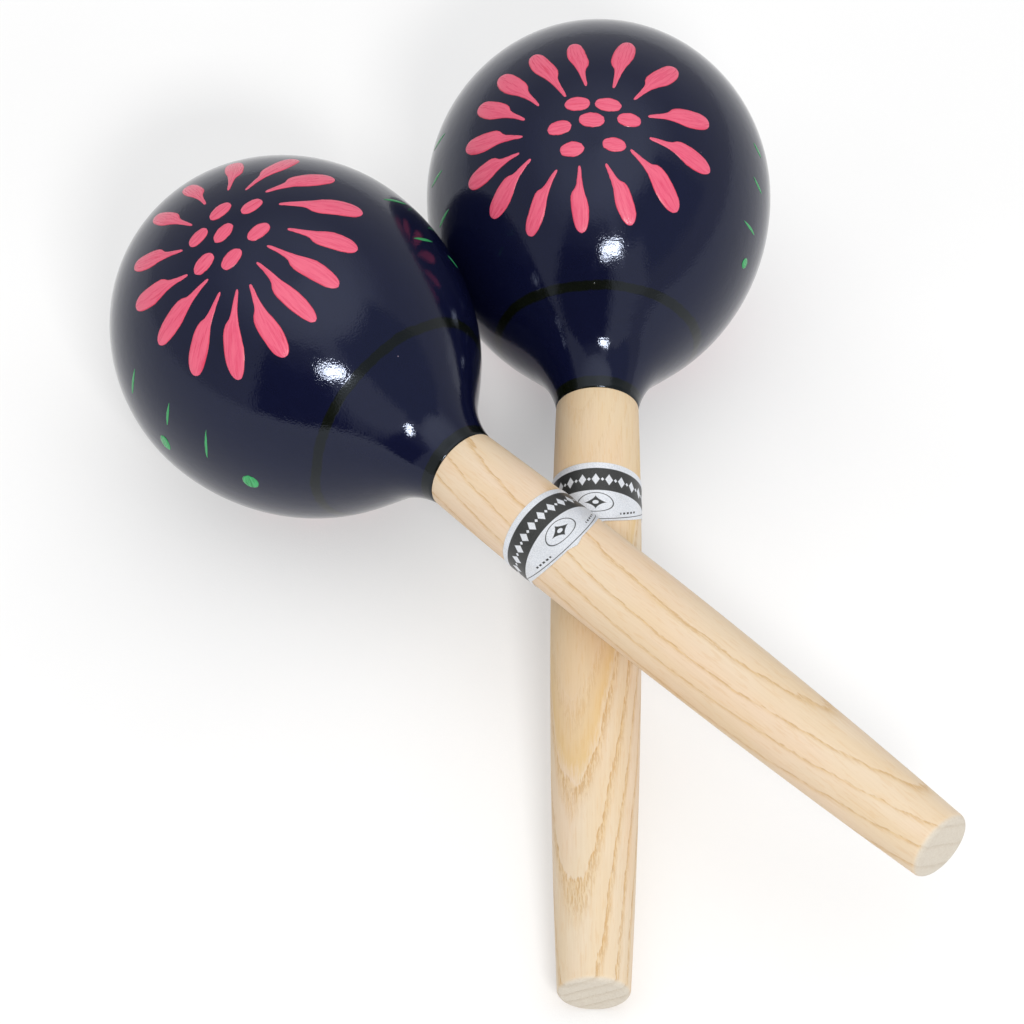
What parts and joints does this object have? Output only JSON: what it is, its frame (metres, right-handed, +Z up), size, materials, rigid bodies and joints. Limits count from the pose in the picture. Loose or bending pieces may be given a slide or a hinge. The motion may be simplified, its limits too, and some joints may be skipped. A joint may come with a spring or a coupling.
{
  "type": "pair of maracas",
  "caption": "Pair of crossed maracas: hollow egg-shaped heads with a painted flower, seed pellets sealed inside, and plain turned wooden handles.",
  "frame": {"origin": "on the table, under the middle of the pair's bounding box, with the heads and one handle end touching Z = 0", "axes": "+Z up; -Y along the handle of the lower maraca, seen from above; +X to the side that the upper maraca's handle points to"},
  "size_m": [0.2048, 0.2667, 0.0872],
  "materials": {
    "head_lacquer": "deep gloss lacquer over turned wood",
    "handle_wood": "fine sanded, thin matt varnish",
    "label_paper": "printed paper with a satin face",
    "pellet_seed": "dry, hard, dull"
  },
  "bodies": {
    "lower_maraca": {"lower_crown_shell": "head_lacquer", "lower_neck_shell": "head_lacquer", "lower_handle": "handle_wood", "lower_label": "label_paper"},
    "lower_tossed_pellets": {"lower_pellet_1": "pellet_seed", "lower_pellet_2": "pellet_seed", "lower_pellet_3": "pellet_seed", "lower_pellet_4": "pellet_seed", "lower_pellet_5": "pellet_seed", "lower_pellet_6": "pellet_seed", "lower_pellet_7": "pellet_seed", "lower_pellet_8": "pellet_seed", "lower_pellet_9": "pellet_seed", "lower_pellet_10": "pellet_seed"},
    "lower_running_pellets": {"lower_pellet_11": "pellet_seed", "lower_pellet_12": "pellet_seed", "lower_pellet_13": "pellet_seed", "lower_pellet_14": "pellet_seed", "lower_pellet_15": "pellet_seed", "lower_pellet_16": "pellet_seed", "lower_pellet_17": "pellet_seed", "lower_pellet_18": "pellet_seed", "lower_pellet_19": "pellet_seed", "lower_pellet_20": "pellet_seed"},
    "upper_maraca": {"upper_crown_shell": "head_lacquer", "upper_neck_shell": "head_lacquer", "upper_handle": "handle_wood", "upper_label": "label_paper"},
    "upper_tossed_pellets": {"upper_pellet_1": "pellet_seed", "upper_pellet_2": "pellet_seed", "upper_pellet_3": "pellet_seed", "upper_pellet_4": "pellet_seed", "upper_pellet_5": "pellet_seed", "upper_pellet_6": "pellet_seed", "upper_pellet_7": "pellet_seed", "upper_pellet_8": "pellet_seed", "upper_pellet_9": "pellet_seed", "upper_pellet_10": "pellet_seed"},
    "upper_running_pellets": {"upper_pellet_11": "pellet_seed", "upper_pellet_12": "pellet_seed", "upper_pellet_13": "pellet_seed", "upper_pellet_14": "pellet_seed", "upper_pellet_15": "pellet_seed", "upper_pellet_16": "pellet_seed", "upper_pellet_17": "pellet_seed", "upper_pellet_18": "pellet_seed", "upper_pellet_19": "pellet_seed", "upper_pellet_20": "pellet_seed"}
  },
  "joints": [
    {"name": "upper_lift", "type": "slide", "parent": "lower_maraca", "child": "upper_maraca", "axis": [0, 0, 1], "range_m": [0, 0.12]},
    {"name": "lower_pellet_toss", "type": "slide", "parent": "lower_maraca", "child": "lower_tossed_pellets", "axis": [0, -0.1592, 0.9872], "range_m": [0, 0.065]},
    {"name": "lower_pellet_run", "type": "hinge", "parent": "lower_maraca", "child": "lower_running_pellets", "pos_m": [0.0186, 0.0874, 0.04369], "axis": [0, -0.9872, -0.1592], "continuous": true},
    {"name": "upper_pellet_toss", "type": "slide", "parent": "upper_maraca", "child": "upper_tossed_pellets", "axis": [-0.0203, 0.021, 0.9996], "range_m": [0, 0.065]},
    {"name": "upper_pellet_run", "type": "hinge", "parent": "upper_maraca", "child": "upper_running_pellets", "pos_m": [-0.0577, 0.0405, 0.0435], "axis": [0.6944, -0.719, 0.0292], "continuous": true}
  ]
}
